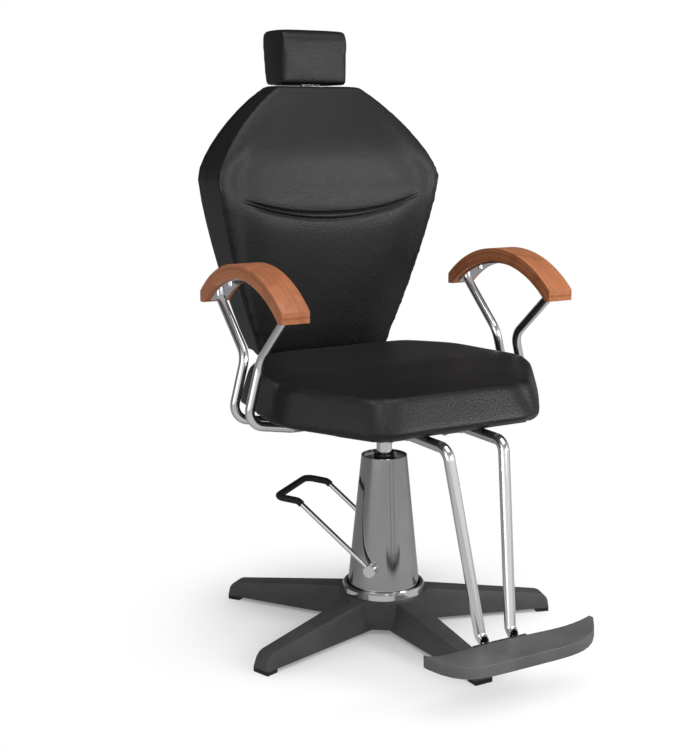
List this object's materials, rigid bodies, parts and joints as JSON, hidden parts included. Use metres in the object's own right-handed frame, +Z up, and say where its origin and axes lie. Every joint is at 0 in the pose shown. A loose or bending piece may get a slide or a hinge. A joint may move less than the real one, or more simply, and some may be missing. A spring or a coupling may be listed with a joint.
{
  "type": "hydraulic barber chair",
  "caption": "Upholstered salon chair with a reclining back and sliding headrest, arched wooden armrests, a pump pedal, a lifting column on a star base and a footrest.",
  "frame": {"origin": "on the floor, on the axis of the lifting column", "axes": "+Z up along the column, -Y the way the sitter faces, +X to the sitter's left"},
  "size_m": [0.6776, 0.858, 1.188],
  "materials": {
    "black_casting": "satin black paint",
    "black_rubber": "matte",
    "chrome": "bright polished",
    "dark_chrome": "darker polished",
    "black_plastic": "satin",
    "pump_iron": "as cast",
    "steel": "plain machined",
    "bronze": "machined",
    "black_steel": "satin black",
    "fibre": "matte",
    "plywood": "stained black",
    "black_vinyl": "fine-grained black vinyl over foam, satin",
    "cherry_wood": "satin lacquer",
    "grey_casting": "satin dark grey paint"
  },
  "bodies": {
    "base": {"star_base": "black_casting", "foot_glides": "black_rubber", "base_ring": "chrome", "column_cover": "dark_chrome", "cover_cap": "dark_chrome", "pump_body": "pump_iron", "pump_bolts": "steel", "oil_cylinder": "steel", "ram_gland": "bronze", "wiper_seal": "black_rubber", "pedal_bushes": "steel"},
    "pedal": {"pedal_shaft": "steel", "pump_finger": "steel", "pedal_fork": "chrome", "pedal_grip": "black_rubber", "pedal_end_nuts": "chrome"},
    "plunger": {"pump_plunger": "steel"},
    "ram": {"lift_ram": "chrome", "ram_piston": "steel", "piston_seal": "black_rubber"},
    "seat": {"swivel_bush": "bronze", "thrust_washer": "bronze", "seat_socket": "black_steel", "socket_bolts": "steel", "seat_frame": "black_steel", "frame_spacers": "steel", "frame_bolts": "steel", "seat_board": "plywood", "seat_cushion": "black_vinyl", "front_arm_tube": "chrome", "rear_arm_tube": "chrome", "left_arm_strip": "chrome", "right_arm_strip": "chrome", "left_armrest": "cherry_wood", "right_armrest": "cherry_wood", "armrest_screws": "chrome", "left_foot_tube": "chrome", "right_foot_tube": "chrome", "footrest_clamps": "black_steel", "clamp_screws": "steel", "tread_bracket": "black_steel", "tread_screws": "steel", "foot_tread": "grey_casting", "recline_shaft": "steel", "shaft_collars": "steel", "friction_washers": "fibre"},
    "back": {"left_back_bracket": "black_steel", "right_back_bracket": "black_steel", "bracket_screws": "steel", "back_board": "plywood", "back_cushion": "black_vinyl", "rear_cover": "black_vinyl", "headrest_guide": "steel"},
    "lever": {"recline_lever": "chrome", "lever_knob": "black_plastic"},
    "headrest": {"headrest_bar": "chrome", "headrest_plate": "steel", "headrest_pad": "black_vinyl"}
  },
  "joints": [
    {"name": "pedal_hinge", "type": "hinge", "parent": "base", "child": "pedal", "pos_m": [0, 0, 0.134], "axis": [-0.7771, -0.6293, 0], "range_deg": [0, 28], "stiffness_Nm_per_rad": 3, "springref_deg": -34.38},
    {"name": "plunger_slide", "type": "slide", "parent": "base", "child": "plunger", "axis": [0, 0, -1], "range_m": [0, 0.0147]},
    {"name": "ram_lift", "type": "slide", "parent": "base", "child": "ram", "axis": [0, 0, 1], "range_m": [0, 0.14]},
    {"name": "seat_swivel", "type": "hinge", "parent": "ram", "child": "seat", "pos_m": [0, 0, 0.42], "axis": [0, 0, 1], "continuous": true},
    {"name": "back_recline", "type": "hinge", "parent": "seat", "child": "back", "pos_m": [0, 0.24, 0.428], "axis": [-1, 0, 0], "range_deg": [0, 45]},
    {"name": "lever_pull", "type": "hinge", "parent": "seat", "child": "lever", "pos_m": [0, 0.24, 0.428], "axis": [-1, 0, 0], "range_deg": [0, 15], "stiffness_Nm_per_rad": 2, "springref_deg": -17.19},
    {"name": "headrest_slide", "type": "slide", "parent": "back", "child": "headrest", "axis": [0, 0.1361, 0.9907], "range_m": [0, 0.08]}
  ],
  "couplings": [
    {"joint": "plunger_slide", "follows": "pedal_hinge", "m_per_rad": 0.03}
  ]
}
